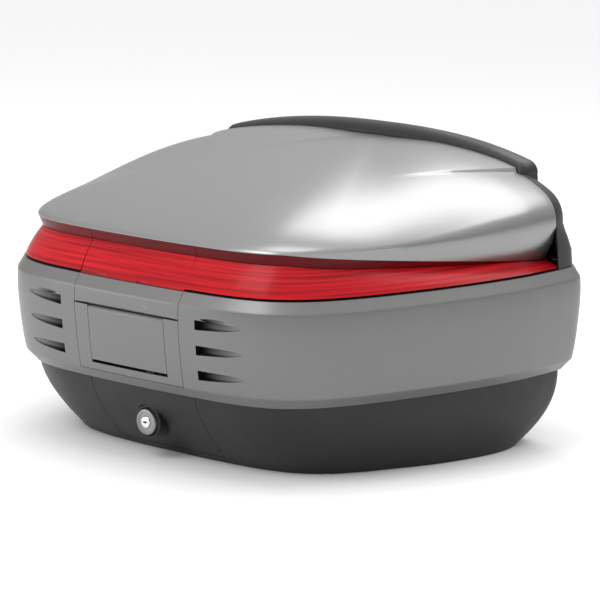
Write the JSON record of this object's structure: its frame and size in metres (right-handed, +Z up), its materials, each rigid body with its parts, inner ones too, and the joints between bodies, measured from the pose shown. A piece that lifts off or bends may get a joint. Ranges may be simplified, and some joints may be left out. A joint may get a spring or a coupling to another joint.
{
  "type": "motorcycle top case",
  "caption": "Hinged two-shell motorcycle top case with silver lid and belt band, red reflector strip, latch lever, pull handle, push lock and rack receiver.",
  "frame": {"origin": "centre of the bounding box in plan, at the base's underside", "axes": "+Z up, X across the motorcycle, -Y the lock side that faces rearward, +Y the hinge side that faces the rider"},
  "size_m": [0.5944, 0.4356, 0.323],
  "materials": {
    "black_plastic": "satin moulded black",
    "silver_belt": "satin silver metallic paint",
    "silver_lid": "satin-gloss silver metallic paint",
    "red_lens": "clear-coated ribbed red reflector",
    "rubber": "matt black rubber",
    "steel": "zinc-plated",
    "chrome": "polished",
    "lock_grey": "satin grey",
    "lining": "needled felt"
  },
  "bodies": {
    "base": {"base_tub": "black_plastic", "bay_box": "black_plastic", "receiver_well": "black_plastic", "handle_surround": "silver_belt", "lock_panel": "black_plastic", "lock_housing": "black_plastic", "rim_seal": "rubber", "floor_mat": "rubber", "mechanism_cover": "black_plastic", "mounting_receiver": "black_plastic", "lever_pin": "steel", "flap_pin": "steel", "cover_screw_1": "steel", "cover_screw_2": "steel", "cover_screw_3": "steel", "cover_screw_4": "steel", "receiver_screw_1": "steel", "receiver_screw_2": "steel", "receiver_screw_3": "steel", "receiver_screw_4": "steel", "tub_wall_left": "black_plastic", "belt_band_left": "silver_belt", "hinge_base_left": "steel", "hinge_pin_left": "steel", "hinge_screw_left_1": "steel", "hinge_screw_left_2": "steel", "tub_wall_right": "black_plastic", "belt_band_right": "silver_belt", "hinge_base_right": "steel", "hinge_pin_right": "steel", "hinge_screw_right_1": "steel", "hinge_screw_right_2": "steel"},
    "lid": {"lid_shell": "silver_lid", "lid_front": "black_plastic", "lid_bar": "black_plastic", "lid_lining": "lining", "latch_keeper": "steel", "seal_flange_left": "black_plastic", "lid_frame_left": "black_plastic", "lid_brow_left": "red_lens", "reflector_left": "red_lens", "hinge_lid_left": "steel", "hinge_lid_screw_left": "steel", "seal_flange_right": "black_plastic", "lid_frame_right": "black_plastic", "lid_brow_right": "red_lens", "reflector_right": "red_lens", "hinge_lid_right": "steel", "hinge_lid_screw_right": "steel"},
    "lever": {"lever_strip": "silver_belt", "lever_frame": "black_plastic", "reflector_centre": "red_lens"},
    "handle": {"handle_flap": "silver_belt", "flap_grip": "rubber"},
    "button": {"lock_barrel": "lock_grey"},
    "key": {"key_plug": "chrome", "lock_cam": "steel"},
    "bolt": {"release_bolt": "steel"},
    "catch": {"plate_catch": "steel"}
  },
  "joints": [
    {"name": "lid_hinge", "type": "hinge", "parent": "base", "child": "lid", "pos_m": [0, 0.2136, 0.199], "axis": [-1, 0, 0], "range_deg": [0, 95]},
    {"name": "lever_hinge", "type": "hinge", "parent": "base", "child": "lever", "pos_m": [0, -0.212, 0.1706], "axis": [1, 0, 0], "range_deg": [0, 50]},
    {"name": "handle_hinge", "type": "hinge", "parent": "base", "child": "handle", "pos_m": [0, -0.2122, 0.1596], "axis": [-1, 0, 0], "range_deg": [0, 70]},
    {"name": "button_push", "type": "slide", "parent": "base", "child": "button", "axis": [0, 1, 0], "range_m": [0, 0.005], "stiffness_N_per_m": 400},
    {"name": "key_turn", "type": "hinge", "parent": "button", "child": "key", "pos_m": [0, -0.185, 0.0406], "axis": [0, 1, 0], "range_deg": [-90, 45]},
    {"name": "bolt_lift", "type": "slide", "parent": "base", "child": "bolt", "axis": [0, 0, 1], "range_m": [0, 0.006]},
    {"name": "catch_slide", "type": "slide", "parent": "base", "child": "catch", "axis": [0, -1, 0], "range_m": [0, 0.008], "stiffness_N_per_m": 400}
  ],
  "couplings": [
    {"joint": "bolt_lift", "follows": "button_push", "ratio": 1.2}
  ]
}
